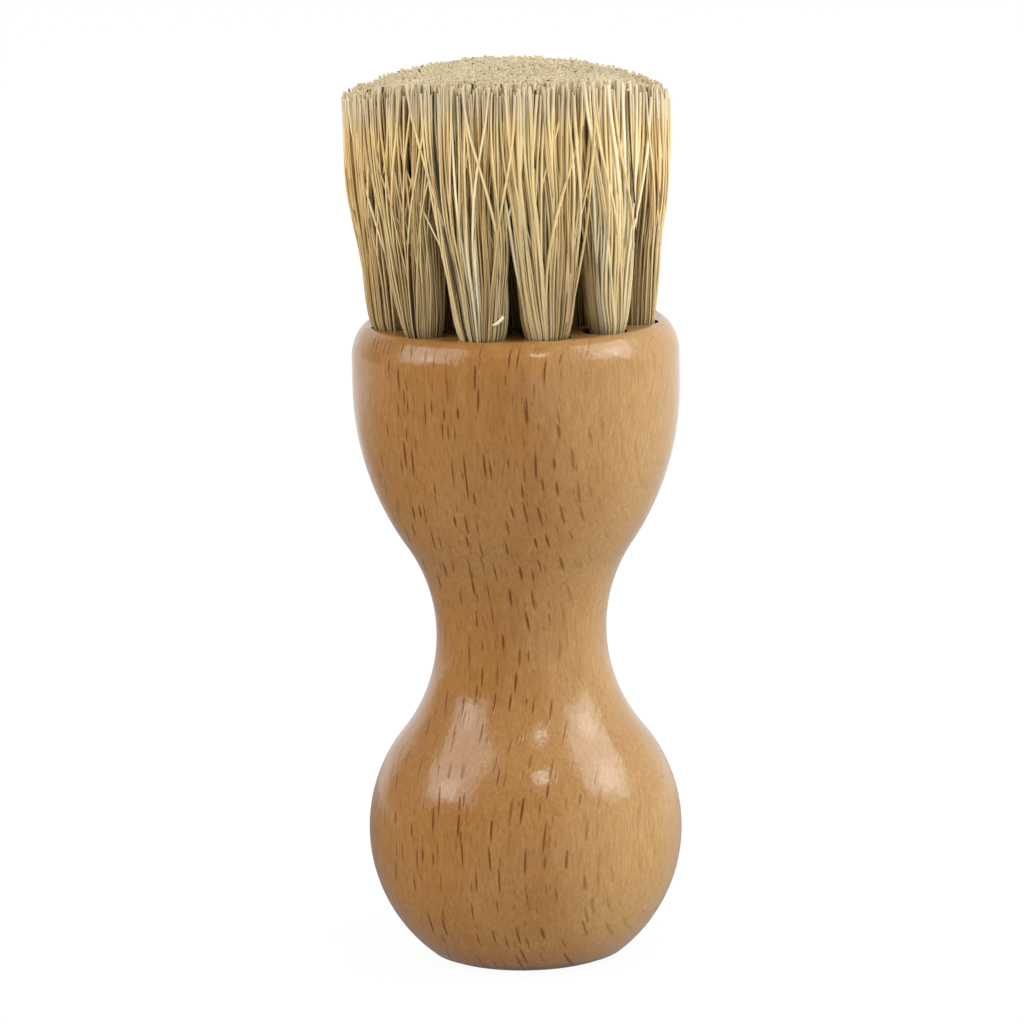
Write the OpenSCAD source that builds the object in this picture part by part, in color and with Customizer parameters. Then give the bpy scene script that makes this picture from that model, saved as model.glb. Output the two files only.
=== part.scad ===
// Shoe shine brush: a turned beech handle with a round knob below and a drilled head above, which
// holds tufts of natural bristle, each folded over a flat wire anchor at the bottom of its hole.
// Sizes are in millimetres and angles in degrees. The brush stands on its foot, with +Z up.

/* [Handle] */
// Height of the handle, from the flat foot to the flat face that carries the tufts
handle_h = 64.2; // [58:0.2:76]
// Diameter of the round knob
knob_d = 31.4; // [27:0.2:37]
// Diameter of the neck where it is thinnest
neck_d = 17; // [12:0.2:21]
// Diameter of the flat foot under the knob
foot_d = 18.4; // [12:0.2:22]
// Radius of the curve that swells from the neck out to the head
swell_r = 28.2; // [23:0.2:34]
// Height of the head above the swell, from the end of the curve up to the face
band_h = 6.4; // [4.4:0.2:9]
// Height of the rounded shoulder that leads from the band to the face
shoulder_h = 3.4; // [1.4:0.2:4.4]
// How far the shoulder draws in between the band and the face
shoulder_w = 1.35; // [0.5:0.05:2]

/* [Tuft holes] */
// Diameter of each drilled hole
hole_d = 3.6; // [3:0.1:4.4]
// Depth of each hole at its full width
hole_h = 9.6; // [8:0.2:12]
// Angle of the drill's point
drill_point = 120; // [100:5:140]
// Wood between one ring of holes and the next, and between the holes of the inner ring
hole_wall = 0.9; // [0.8:0.05:1.6]
// Wood between the outer ring of holes and the edge of the face
edge_wall = 0.9; // [0.6:0.1:1.5]
// Number of tufts in the outer ring
outer_count = 12; // [8:1:15]
// Number of tufts in the middle ring
middle_count = 8; // [6:1:10]
// Number of tufts in the inner ring
inner_count = 4; // [3:1:5]

/* [Bristles] */
// Length of bristle above the face, at the middle of the brush
bristle_h = 25.4; // [18:0.2:31]
// How far the rim of the block leans out past the outer holes
flare_w = 2.2; // [0:0.1:4]
// How much shorter the block is at its rim than at its middle
dome_h = 1.6; // [0:0.1:3]
// Number of strands in each tuft
strand_count = 15; // [13:1:18]
// Least space between two strands where they leave the hole
strand_gap = 0.03; // [0.02:0.01:0.1]
// Width of one strand at its tip, across its corners
tip_w = 0.5; // [0.3:0.02:0.7]
// Space between one tuft and the next at the top of the block
tuft_gap = 0.2; // [0.1:0.1:1]

/* [Anchors] */
// Thickness of the flat wire
anchor_t = 0.35; // [0.25:0.05:0.5]
// Width of the flat wire, along the hole
anchor_w = 2; // [1.4:0.1:2.6]
// How far each end of the wire bites into the wood beside the hole
anchor_bite = 0.4; // [0.2:0.05:0.5]
// Thickness of the fold of bristle below the wire
fold_h = 1.5; // [1.2:0.1:2]

/* [Fits] */
// Gap all round between the root of a tuft and its hole
tuft_fit = 0.1; // [0.08:0.01:0.15]
// Gap all round between an anchor and the wood or bristle that it is pressed into
anchor_fit = 0.03; // [0.02:0.01:0.05]

/* [Hidden] */

beech = [0.77, 0.58, 0.36];
pale_bristle = [0.80, 0.74, 0.57];
steel = [0.70, 0.70, 0.68];

// The head is as wide as its rings of holes need, counted out from the middle of the face
hole_r = hole_d / 2;
ring_step = hole_d + hole_wall;
inner_r = ring_step / 2 / sin(180 / inner_count);
middle_r = inner_r + ring_step;
outer_r = middle_r + ring_step;
face_r = outer_r + hole_r + edge_wall;
head_r = face_r + shoulder_w;
knob_r = knob_d / 2;
neck_r = neck_d / 2;
foot_r = foot_d / 2;

// The knob is a ball cut off at the foot, and the swell ends at the band
knob_z = sqrt(knob_r * knob_r - foot_r * foot_r);
swell_x = head_r - swell_r;
swell_z = handle_h - band_h;
shoulder_z = handle_h - shoulder_h;

// The waist is one arc that touches both the knob and the swell, so the neck's height follows from
// the other sizes: waist_rise is how far the neck lies above the middle of the knob
blend_h = swell_z - knob_z;
knob_in = knob_r - neck_r;
head_in = head_r - neck_r;
blend_k = blend_h * blend_h + head_in * (knob_r + neck_r - 2 * swell_r + head_in);
waist_rise = blend_k / (blend_h + sqrt(blend_h * blend_h + (head_in / knob_in - 1) * blend_k));
waist_r = (waist_rise * waist_rise / knob_in - knob_r - neck_r) / 2;
waist_x = neck_r + waist_r;
waist_z = knob_z + waist_rise;

// Where one arc of the profile hands over to the next
foot_turn = asin(knob_z / knob_r);
knob_turn = asin(waist_rise / (knob_r + waist_r));
swell_turn = asin((swell_z - waist_z) / (swell_r + waist_r));
arc_step = 5;
shoulder_steps = 9;

// A hole ends in the cone of the drill's point, and its cut runs on a little above the face
point_h = hole_r / tan(drill_point / 2);
cut_over = 1;

// Tufts are numbered round from the front, which is where -Y points
front = -90;

// The top of the block is shared out so that every tuft has about the same area
block_r = outer_r + hole_r + flare_w;
all_count = outer_count + middle_count + inner_count;
middle_edge = block_r * sqrt((middle_count + inner_count) / all_count);
inner_edge = block_r * sqrt(inner_count / all_count);
tip_margin = (tuft_gap + tip_w) / 2;

// Shares of a strand's height, from 0 at the face to 1 at the tip, where it has its corners: only
// the outer strands bend, and each starts a little way inside the root
root_drop = 0.3;
strand_bite = 0.3;
strand_start = -(root_drop + strand_bite) / bristle_h;
bent = [strand_start, 0.45, 1];
straight = [strand_start, 1];

// A ring of tufts holds how many it has, the turn of the first one, its radius at the face, the
// shares of its strands, and three sizes of a tuft's top: its radius from the axis, its half size
// outwards and its half size sideways
how_many = 0;
first_turn = 1;
hole_place = 2;
shares = 3;
top_place = 4;
top_out = 5;
top_side = 6;
outer_ring = concat([outer_count, 180 / outer_count, outer_r, bent],
    top_between(middle_edge, block_r, outer_count));
middle_ring = concat([middle_count, 180 / middle_count, middle_r, straight],
    top_between(inner_edge, middle_edge, middle_count));
inner_ring = concat([inner_count, 0, inner_r, straight], top_inside(inner_edge, inner_count));

// The root of a tuft is its folded end, which fills the hole from just under the face
root_r = hole_r - tuft_fit;
root_sides = 8;
root_h = hole_h - root_drop - tuft_fit;
anchor_l = hole_d + 2 * anchor_bite;
anchor_z = tuft_fit + fold_h - hole_h;

// Strands stand in a spiral that spreads them evenly over a circle, here of radius 1. Its closest
// spots lie spiral_room apart, which sets how wide a strand can be at the root.
golden_turn = 137.508;
spots = [for (i = [0 : strand_count - 1])
    sqrt((i + 0.5) / (strand_count - 0.5)) * [cos(golden_turn * i), sin(golden_turn * i)]];
spiral_room = 1.57 / sqrt(strand_count);
root_room = root_r * cos(180 / root_sides);
strand_w = (spiral_room * root_room - strand_gap) / (1 + spiral_room / 2);
spread_r = root_room - strand_w / 2;
strand_sides = 3;
strand_twist = 47;

function names(start, count) = [for (i = [1 : count]) str(start, i < 10 ? "0" : "", i)];

// The tops of a ring's tufts are ovals that fill the space between two radii
function top_between(inside, outside, count) =
    let (middle = (inside + outside) / 2)
    [middle, (outside - inside) / 2 - tip_margin, middle * sin(180 / count) - tip_margin];

// The tops of the innermost tufts are circles that touch the sides and the edge of their sectors
function top_inside(outside, count) =
    let (middle = outside / (1 + sin(180 / count)), half = middle * sin(180 / count) - tip_margin)
    [middle, half, half];

// Points along an arc, from one angle to another
function arc(x, z, radius, from, to) =
    let (steps = ceil(abs(to - from) / arc_step))
    [for (i = [0 : steps]) let (a = from + (to - from) * i / steps)
        [x + radius * cos(a), z + radius * sin(a)]];

// The shoulder is a quarter of an ellipse, from the band to the face
function shoulder() =
    [for (i = [0 : shoulder_steps]) let (a = 90 * i / shoulder_steps)
        [head_r - shoulder_w * (1 - cos(a)), shoulder_z + shoulder_h * sin(a)]];

// The outline that is turned, from the middle of the foot round to the middle of the face
function profile() = concat(
    [[0, 0]],
    arc(0, knob_z, knob_r, -foot_turn, knob_turn),
    arc(waist_x, waist_z, waist_r, 180 + knob_turn, 180 - swell_turn),
    arc(swell_x, swell_z, swell_r, -swell_turn, 0),
    shoulder(),
    [[0, handle_h]]);

// How far a strand has leant out at a share of its height: quickly at the face, hardly at the tip
function lean_out(share) = sin(90 * share);

// Each hole is drilled along the first stretch of its bristles
function hole_lean(ring) =
    let (from = ring[shares][0], to = ring[shares][1], way = ring[top_place] - ring[hole_place])
    atan(way * (lean_out(to) - lean_out(from)) / (bristle_h * (to - from)));

// Where a strand is at a share of its height
function strand_place(ring, spot, share) =
    let (
        top = [ring[top_place] + ring[top_out] * spot[0], ring[top_side] * spot[1]],
        root = [ring[hole_place], 0] + spread_r * spot,
        tip_h = bristle_h - dome_h * pow(norm(top) / block_r, 2),
        place = root + (top - root) * lean_out(share)
    )
    [place[0], place[1], handle_h + share * tip_h];

// Turns its children round the axis to one tuft of a ring, where +X points outwards
module at_tuft(ring, number) {
    rotate(front + ring[first_turn] + 360 * (number - 1) / ring[how_many]) children();
}

// Puts its children in a hole, whose middle on the face is the origin, with +Z along the hole
module in_hole(ring, number) {
    at_tuft(ring, number)
        translate([ring[hole_place], 0, handle_h])
            rotate([0, hole_lean(ring), 0])
                children();
}

// A drilled hole, with the cone of the drill's point below it
module drilling() {
    rotate_extrude($fn = 48)
        polygon([[0, -hole_h - point_h], [hole_r, -hole_h], [hole_r, cut_over], [0, cut_over]]);
}

// The flat wire, or with a fit the pocket and the window that hold it
module wire(fit) {
    translate([-anchor_t / 2 - fit, -anchor_l / 2 - fit, anchor_z - fit])
        cube([anchor_t + 2 * fit, anchor_l + 2 * fit, anchor_w + 2 * fit]);
}

// The folded end of a tuft: a round plug, whose bottom is the bend of the bristles round the wire
module root() {
    intersection() {
        translate([0, 0, -root_drop - root_h])
            rotate(180 / root_sides)
                cylinder(r = root_r, h = root_h, $fn = root_sides);
        union() {
            translate([-root_r, -root_r, root_r - root_drop - root_h])
                cube([2 * root_r, 2 * root_r, root_h]);
            translate([0, root_r, root_r - root_drop - root_h])
                rotate([90, 180 / root_sides, 0])
                    cylinder(r = root_r / cos(180 / root_sides), h = 2 * root_r, $fn = root_sides);
        }
    }
}

// One thin three-sided strand, which runs up through the given places
module strand(places, twist) {
    last = len(places) - 1;
    corners = [for (k = [0 : last], j = [0 : strand_sides - 1])
        let (a = twist + 360 * j / strand_sides, width = strand_w + (tip_w - strand_w) * k / last)
            places[k] + width / 2 * [cos(a), sin(a), 0]];
    sides = [for (k = [0 : last - 1], j = [0 : strand_sides - 1])
        let (a = strand_sides * k + j, b = strand_sides * k + (j + 1) % strand_sides)
            each [[a, a + strand_sides, b], [b, a + strand_sides, b + strand_sides]]];
    top = strand_sides * last;
    polyhedron(corners, concat([[0, 1, 2]], sides, [[top + 2, top + 1, top]]));
}

module handle() {
    color(beech)
        difference() {
            rotate_extrude($fn = 96) polygon(profile());
            for (ring = [outer_ring, middle_ring, inner_ring], number = [1 : ring[how_many]])
                in_hole(ring, number) {
                    drilling();
                    wire(anchor_fit);
                }
        }
}

module tuft(ring, number) {
    color(pale_bristle) {
        in_hole(ring, number)
            difference() {
                root();
                wire(anchor_fit);
            }
        at_tuft(ring, number)
            for (i = [0 : strand_count - 1])
                strand([for (share = ring[shares]) strand_place(ring, spots[i], share)], strand_twist * i);
    }
}

module anchors(ring) {
    color(steel)
        for (number = [1 : ring[how_many]])
            in_hole(ring, number) wire(0);
}

handle();
for (i = [1 : outer_count]) tuft(outer_ring, i);
for (i = [1 : middle_count]) tuft(middle_ring, i);
for (i = [1 : inner_count])
    tuft(inner_ring, i);
anchors(outer_ring);  // anchors_outer
anchors(middle_ring);  // anchors_middle
anchors(inner_ring);  // anchors_inner
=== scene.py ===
import math

import bpy
from mathutils import Matrix, Vector


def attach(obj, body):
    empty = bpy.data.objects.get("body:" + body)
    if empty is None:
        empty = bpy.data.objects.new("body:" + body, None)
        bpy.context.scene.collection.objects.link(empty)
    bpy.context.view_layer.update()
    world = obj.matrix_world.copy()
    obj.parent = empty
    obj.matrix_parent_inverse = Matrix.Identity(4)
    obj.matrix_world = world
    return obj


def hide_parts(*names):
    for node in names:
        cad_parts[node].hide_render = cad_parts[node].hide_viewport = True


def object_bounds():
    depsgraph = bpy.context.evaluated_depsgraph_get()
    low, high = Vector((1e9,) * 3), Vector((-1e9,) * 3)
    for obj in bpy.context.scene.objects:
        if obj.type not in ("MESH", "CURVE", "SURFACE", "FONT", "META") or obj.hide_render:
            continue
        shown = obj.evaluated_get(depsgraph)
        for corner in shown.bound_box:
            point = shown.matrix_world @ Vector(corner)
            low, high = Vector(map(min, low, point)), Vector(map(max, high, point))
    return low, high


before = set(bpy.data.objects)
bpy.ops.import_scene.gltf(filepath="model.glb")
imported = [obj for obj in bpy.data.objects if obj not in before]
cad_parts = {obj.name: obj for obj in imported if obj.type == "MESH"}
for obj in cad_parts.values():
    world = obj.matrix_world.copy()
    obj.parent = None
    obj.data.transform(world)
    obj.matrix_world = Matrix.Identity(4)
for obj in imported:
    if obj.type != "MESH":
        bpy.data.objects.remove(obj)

cadLow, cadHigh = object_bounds()
mm = 0.001                       # sizes are written in millimetres and turned into metres here


# small helpers for building node trees

def feed(tree, socket, value):
    if isinstance(value, bpy.types.NodeSocket):
        tree.links.new(value, socket)
    else:
        socket.default_value = value


def addNode(tree, kind, inputs=None, **settings):
    node = tree.nodes.new(kind)
    for name, value in settings.items():
        setattr(node, name, value)
    for key, value in (inputs or {}).items():
        feed(tree, node.inputs[key], value)
    return node


def fromNode(tree, kind, inputs=None, **settings):    # the first output of a new node
    return addNode(tree, kind, inputs, **settings).outputs[0]


def calc(tree, operation, *values):
    node = addNode(tree, "ShaderNodeMath", operation=operation)
    for socket, value in zip(node.inputs, values):
        feed(tree, socket, value)
    return node.outputs[0]


def plus(tree, first, second):
    return calc(tree, "ADD", first, second)


def minus(tree, first, second):
    return calc(tree, "SUBTRACT", first, second)


def times(tree, first, second):
    return calc(tree, "MULTIPLY", first, second)


def over(tree, first, second):
    return calc(tree, "DIVIDE", first, second)


def squared(tree, value):
    return calc(tree, "MULTIPLY", value, value)


def timesPlus(tree, first, second, added):
    return calc(tree, "MULTIPLY_ADD", first, second, added)


def graded(tree, value, least, more):
    return timesPlus(tree, value, more, least)


def blend(tree, share, start, end):    # start where the share is 0, end where it is 1
    return timesPlus(tree, share, minus(tree, end, start), start)


def ease(tree, value, low, high, start=0.0, end=1.0):    # start at low, end at high, and soft in between
    node = addNode(tree, "ShaderNodeMapRange", interpolation_type="SMOOTHSTEP")
    for socket, number in zip(node.inputs, (value, low, high, start, end)):
        feed(tree, socket, number)
    return node.outputs[0]


def vectorCalc(tree, operation, *values):
    node = addNode(tree, "ShaderNodeVectorMath", operation=operation)
    sockets = [node.inputs[0], node.inputs["Scale"]] if operation == "SCALE" else node.inputs
    for socket, value in zip(sockets, values):
        feed(tree, socket, value)
    return node.outputs["Value"] if operation in ("LENGTH", "DOT_PRODUCT") else node.outputs[0]


def fromXyz(tree, x, y, z):
    return fromNode(tree, "ShaderNodeCombineXYZ", {0: x, 1: y, 2: z})


def toXyz(tree, vector):
    return addNode(tree, "ShaderNodeSeparateXYZ", {0: vector}).outputs


def onCircle(tree, radius, turn, height):
    x = times(tree, radius, calc(tree, "COSINE", turn))
    y = times(tree, radius, calc(tree, "SINE", turn))
    return fromXyz(tree, x, y, height)


def readValue(tree, name):
    return fromNode(tree, "GeometryNodeInputNamedAttribute", {"Name": name}, data_type="FLOAT")


def moveTo(tree, geometry, place):
    return fromNode(tree, "GeometryNodeSetPosition", {"Geometry": geometry, "Position": place})


def joinAll(tree, parts):
    node = addNode(tree, "GeometryNodeJoinGeometry")
    for part in parts:
        tree.links.new(part, node.inputs[0])
    return node.outputs[0]


def startTree(name, sockets):    # an input's kind is given, or follows from its value
    tree = bpy.data.node_groups.new(name, "GeometryNodeTree")
    tree.is_modifier = True
    kinds = {int: "NodeSocketInt", float: "NodeSocketFloat"}
    for label, value in sockets.items():
        kind = kinds.get(type(value), value)
        socket = tree.interface.new_socket(name=label, in_out="INPUT", socket_type=kind)
        if kind != value:
            socket.default_value = value
    tree.interface.new_socket(name="Geometry", in_out="OUTPUT", socket_type="NodeSocketGeometry")
    return tree, addNode(tree, "NodeGroupInput").outputs


def endTree(tree, geometry, material):
    real = fromNode(tree, "GeometryNodeRealizeInstances", {"Geometry": geometry})
    dressed = fromNode(tree, "GeometryNodeSetMaterial", {"Geometry": real, "Material": material})
    addNode(tree, "NodeGroupOutput", {0: dressed})


def growMesh(name, data, tree, values):
    grower = bpy.data.objects.new(name, data)
    bpy.context.scene.collection.objects.link(grower)
    modifier = grower.modifiers.new(tree.name, "NODES")
    modifier.node_group = tree
    for item in tree.interface.items_tree:
        if item.in_out == "INPUT" and item.name in values:
            modifier[item.identifier] = values[item.name]
    bpy.context.view_layer.update()
    depsgraph = bpy.context.evaluated_depsgraph_get()
    mesh = bpy.data.meshes.new_from_object(grower.evaluated_get(depsgraph), depsgraph=depsgraph)
    mesh.name = name
    grower.modifiers.remove(modifier)
    bpy.data.objects.remove(grower)
    piece = bpy.data.objects.new(name, mesh)
    bpy.context.scene.collection.objects.link(piece)
    return piece


# the camera stands a little above the brush and looks slightly down at it

cameraSpec = {
    "place": (-0.69, -540, 147.3),
    "target": (-0.69, 0, 44.84),
    "lens": 194.1,
    "sensor": 36,
    "lean": 1.25,    # degrees that the brush leans to the left in the picture
}


def makeCamera(spec):
    camera = bpy.data.objects.new("camera", bpy.data.cameras.new("camera"))
    bpy.context.scene.collection.objects.link(camera)
    place = Vector(spec["place"]) * mm
    look = (Vector(spec["target"]) * mm - place).normalized()
    level = look.to_track_quat("-Z", "Y").to_matrix()
    lean = Matrix.Rotation(-math.radians(spec["lean"]), 3, "Z")
    camera.matrix_world = Matrix.Translation(place) @ (level @ lean).to_4x4()
    camera.data.lens = spec["lens"]
    camera.data.sensor_width = spec["sensor"]
    camera.data.clip_start = 0.05
    camera.data.clip_end = 20
    bpy.context.scene.camera = camera


makeCamera(cameraSpec)
print("camera set")


# materials start alike, and a pattern is noise stretched along the piece's own directions

def startMaterial(name):
    material = bpy.data.materials.new(name)
    material.use_nodes = True
    tree = material.node_tree
    return material, tree, tree.nodes["Principled BSDF"]


def mixColour(tree, share, first, second, way="MIX"):
    node = addNode(tree, "ShaderNodeMix", data_type="RGBA", blend_type=way)
    feed(tree, node.inputs[0], share)
    for socket, value in ((node.inputs[6], first), (node.inputs[7], second)):
        feed(tree, socket, value if isinstance(value, bpy.types.NodeSocket) else (*value, 1))
    return node.outputs[2]


def shaded(tree, colour, shade):
    return mixColour(tree, 1.0, colour, fromXyz(tree, shade, shade, shade), "MULTIPLY")


def placeOn(tree, kind):
    return addNode(tree, "ShaderNodeTexCoord").outputs[kind]


def patternOn(tree, place, scale, stretch=(1.0, 1.0, 1.0), detail=2.0, rough=0.5, output="Fac"):
    stretched = vectorCalc(tree, "MULTIPLY", place, stretch)
    inputs = {"Vector": stretched, "Scale": scale, "Detail": detail, "Roughness": rough}
    return addNode(tree, "ShaderNodeTexNoise", inputs, noise_dimensions="3D").outputs[output]


# the lacquered beech of the handle

beechSpec = {
    "turn": 20,    # degrees between the rays of the tree and the front
    "base": (0.312, 0.153, 0.047),
    "warm": (0.290, 0.127, 0.031),
    "pale": (0.372, 0.196, 0.063),
    "heartwoodAndPaintedShade": (0.298, 0.137, 0.036),
    "sapwoodAndPaintedLight": (0.440, 0.258, 0.096),
    "fleck": (0.135, 0.038, 0.003),
    "paintedFootShadow": (0.085, 0.036, 0.014),
    "patterns": {
        "sway": {"scale": 0.09, "detail": 1.0},
        "tone": {"scale": 0.11, "stretch": (1.0, 1.0, 0.35)},
        "rings": {"scale": 0.55, "stretch": (1.2, 1.6, 0.05)},
        "fibre": {"scale": 4.0, "stretch": (1.0, 1.0, 0.12), "detail": 4.0, "rough": 0.7},
        "pores": {"scale": 6.0, "stretch": (1.0, 1.0, 0.4), "rough": 0.6},
        "peel": {"scale": 0.9},
        "wobble": {"scale": 0.34, "stretch": (1.0, 1.0, 0.6), "detail": 1.0},
    },
    "limits": {    # where each change begins and ends, and from what to what it goes
        "warmth": (0.32, 0.68),
        "rings": (0.45, 0.8, 0.0, 0.35),
        "neck": (16.0, 3.0, 0.0, 5.0),
        "sapwoodAndPaintedLight": (7.5, 21.0, 0.0, 0.9),
        "heartwoodAndPaintedShade": (3.0, -7.0),
        "alongRays": (0.42, 0.88, 1.0, 0.12),
        "upward": (0.40, 0.80, 1.0, 0.2),
        "footHeight": (0.95, 0.3, 0.0, 0.85),
        "footRadius": (7.8, 8.5),
    },
    "swayBy": (1.2, 3.0, 0.0),
    "edgeSway": 6.0,    # how far the edges of the darker left side (heartwood and painted shade) and the paler right side (sapwood and painted light) wander
    "neckHeight": 34.0,    # the paler right side comes further round the neck, as painted light
    "fibreShade": (0.34, 0.95),    # at least, and how much a pale fibre adds
    "poreShade": 0.37,
    "fleckEdge": (1.0, 0.12),
    "fleckSoft": 0.35,
    "flecks": [
        {"cell": (1.3, 14.0, 2.8), "wide": (0.12, 0.19), "deep": (8.0, 13.0), "long": (0.8, 2.0),
         "dark": 0.95, "kept": 0.85},
        {"cell": (1.1, 8.0, 2.2), "wide": (0.09, 0.14), "deep": (4.0, 7.0), "long": (0.3, 0.9),
         "dark": 0.42, "kept": 0.8},
    ],
    "woodRoughness": (0.45, 0.14),    # at least, and how much the peel adds
    "woodShine": 0.03,
    "coatBends": 1.42,
    "coatRoughness": 0.17,
    "peelHeight": 0.42,
    "fleckDepth": 0.25,
    "bump": 0.6,
    "bumpHeight": 0.16,
}


def beechFlecks(tree, place, spec, layer):
    cell = layer["cell"]
    spread = vectorCalc(tree, "MULTIPLY", place, tuple(1 / side for side in cell))
    inputs = {"Vector": spread, "Scale": 1.0, "Randomness": 1.0}
    cells = addNode(tree, "ShaderNodeTexVoronoi", inputs, voronoi_dimensions="3D")
    chance = toXyz(tree, cells.outputs["Color"])
    away = vectorCalc(tree, "SUBTRACT", spread, cells.outputs["Position"])
    sides = toXyz(tree, vectorCalc(tree, "MULTIPLY", away, cell))
    total = None
    for side, chanceOf, sizes in ((0, 0, "wide"), (1, 1, "deep"), (2, 1, "long")):
        low, high = layer[sizes]
        half = timesPlus(tree, chance[chanceOf], high - low, low)
        part = calc(tree, "POWER", calc(tree, "ABSOLUTE", over(tree, sides[side], half)), 2.0)
        total = part if total is None else plus(tree, total, part)
    shape = ease(tree, total, *spec["fleckEdge"])
    leftOut = 1 - layer["kept"]
    kept = ease(tree, chance[2], leftOut, leftOut + spec["fleckSoft"])
    return times(tree, times(tree, shape, kept), layer["dark"])


def makeBeech(spec):
    material, tree, shader = startMaterial("lacqueredBeech")
    patterns, limits = spec["patterns"], spec["limits"]
    where = placeOn(tree, "Object")
    turned = addNode(tree, "ShaderNodeMapping", {"Vector": where, "Scale": (1 / mm,) * 3})
    turned.inputs["Rotation"].default_value = (0, 0, math.radians(spec["turn"]))
    place = turned.outputs[0]
    sway = patternOn(tree, place, **patterns["sway"], output="Color")
    sway = vectorCalc(tree, "SUBTRACT", sway, (0.5, 0.5, 0.5))
    place = vectorCalc(tree, "ADD", place, vectorCalc(tree, "MULTIPLY", sway, spec["swayBy"]))

    # slow changes of tone, the yearly rings, paler wood on the right (sapwood and painted light), darker
    # wood on the left (heartwood and painted shade)
    tone = patternOn(tree, place, **patterns["tone"])
    colour = mixColour(tree, ease(tree, tone, *limits["warmth"]), spec["warm"], spec["base"])
    rings = ease(tree, patternOn(tree, place, **patterns["rings"]), *limits["rings"])
    colour = mixColour(tree, rings, colour, spec["pale"])
    across, _, height = toXyz(tree, place)
    outward = timesPlus(tree, tone, spec["edgeSway"], across)
    # the paler right side reaches further round the neck, painted light
    fromNeck = calc(tree, "ABSOLUTE", minus(tree, height, spec["neckHeight"]))
    further = plus(tree, outward, ease(tree, fromNeck, *limits["neck"]))
    colour = mixColour(tree, ease(tree, further, *limits["sapwoodAndPaintedLight"]), colour, spec["sapwoodAndPaintedLight"])
    colour = mixColour(tree, ease(tree, outward, *limits["heartwoodAndPaintedShade"]), colour, spec["heartwoodAndPaintedShade"])

    # the fine fibres and pores
    fibre = graded(tree, patternOn(tree, place, **patterns["fibre"]), *spec["fibreShade"])
    pores = times(tree, patternOn(tree, place, **patterns["pores"]), spec["poreShade"])
    colour = shaded(tree, colour, plus(tree, fibre, pores))

    # the flecks are faint where the surface runs along the rays, and where it faces up
    flecks = None
    for layer in spec["flecks"]:
        drawn = beechFlecks(tree, place, spec, layer)
        flecks = drawn if flecks is None else calc(tree, "MAXIMUM", flecks, drawn)
    turn = math.radians(spec["turn"])
    faces = placeOn(tree, "Normal")
    facing = vectorCalc(tree, "DOT_PRODUCT", faces, (math.cos(turn), -math.sin(turn), 0.0))
    flecks = times(tree, flecks, ease(tree, calc(tree, "ABSOLUTE", facing), *limits["alongRays"]))
    flecks = times(tree, flecks, ease(tree, toXyz(tree, faces)[2], *limits["upward"]))
    colour = mixColour(tree, flecks, colour, spec["fleck"])

    # the edge of the foot is darkened with a painted contact shadow
    x, y, z = toXyz(tree, vectorCalc(tree, "SCALE", where, 1 / mm))
    fromAxis = vectorCalc(tree, "LENGTH", fromXyz(tree, x, y, 0.0))
    edge = times(tree, ease(tree, z, *limits["footHeight"]), ease(tree, fromAxis, *limits["footRadius"]))
    colour = mixColour(tree, edge, colour, spec["paintedFootShadow"])
    feed(tree, shader.inputs["Base Color"], colour)

    # the lacquer is almost smooth, with a little peel and the flecks just sunk
    peel = patternOn(tree, place, **patterns["peel"])
    feed(tree, shader.inputs["Roughness"], graded(tree, peel, *spec["woodRoughness"]))
    wobble = patternOn(tree, place, **patterns["wobble"])
    height = plus(tree, times(tree, peel, spec["peelHeight"]), wobble)
    height = minus(tree, height, times(tree, flecks, spec["fleckDepth"]))
    inputs = {"Height": height, "Strength": spec["bump"], "Distance": spec["bumpHeight"] * mm}
    bump = fromNode(tree, "ShaderNodeBump", inputs)
    feed(tree, shader.inputs["Normal"], bump)
    feed(tree, shader.inputs["Coat Normal"], bump)
    shader.inputs["Specular IOR Level"].default_value = spec["woodShine"]
    shader.inputs["Coat Weight"].default_value = 1.0
    shader.inputs["Coat IOR"].default_value = spec["coatBends"]
    shader.inputs["Coat Roughness"].default_value = spec["coatRoughness"]
    return material


beech = makeBeech(beechSpec)
print("beech mixed")


# the holes in the head, drilled in three rings and fanned slightly outwards

drillSpec = {
    "hole": 3.6,
    "depth": 9.6,
    "point": 120,      # degrees across the drill's tip
    "rimEase": 0.35,   # the mouth of each hole is eased this much
    "rimCutter": 1.0,  # by a cone of this height, which widens by as much
    "above": 2.0,      # the bit stands this far out of the wood
    "sides": 48,
    "rings": [
        {"name": "outer", "count": 12, "radius": 12.182, "lean": 5.3, "first": 15.0},
        {"name": "middle", "count": 8, "radius": 7.682, "lean": 3.1, "first": 22.5},
        {"name": "inner", "count": 4, "radius": 3.182, "lean": 1.6, "first": 0.0},
    ],
}


# the handle, turned from one profile and then drilled

handleSpec = {
    "height": 64.2,
    "knob": {"radius": 15.7, "height": 12.72},
    "neck": 8.5,
    "swell": {"radius": 28.2, "height": 57.8},
    "shoulder": {"bottom": 61.1, "wide": 1.76, "fullness": 1.2, "steps": 14},
    "headRadius": 16.232,
    "footEase": {"wide": 0.7, "tall": 0.35, "reach": 0.9, "turns": (0, 0.35, 0.7, 1.05)},
    "step": 2.5,      # degrees between the rows on the knob
    "sides": 192,
    "weld": 0.004,
    "crease": 28,     # degrees above which an edge stays sharp
}


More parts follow.
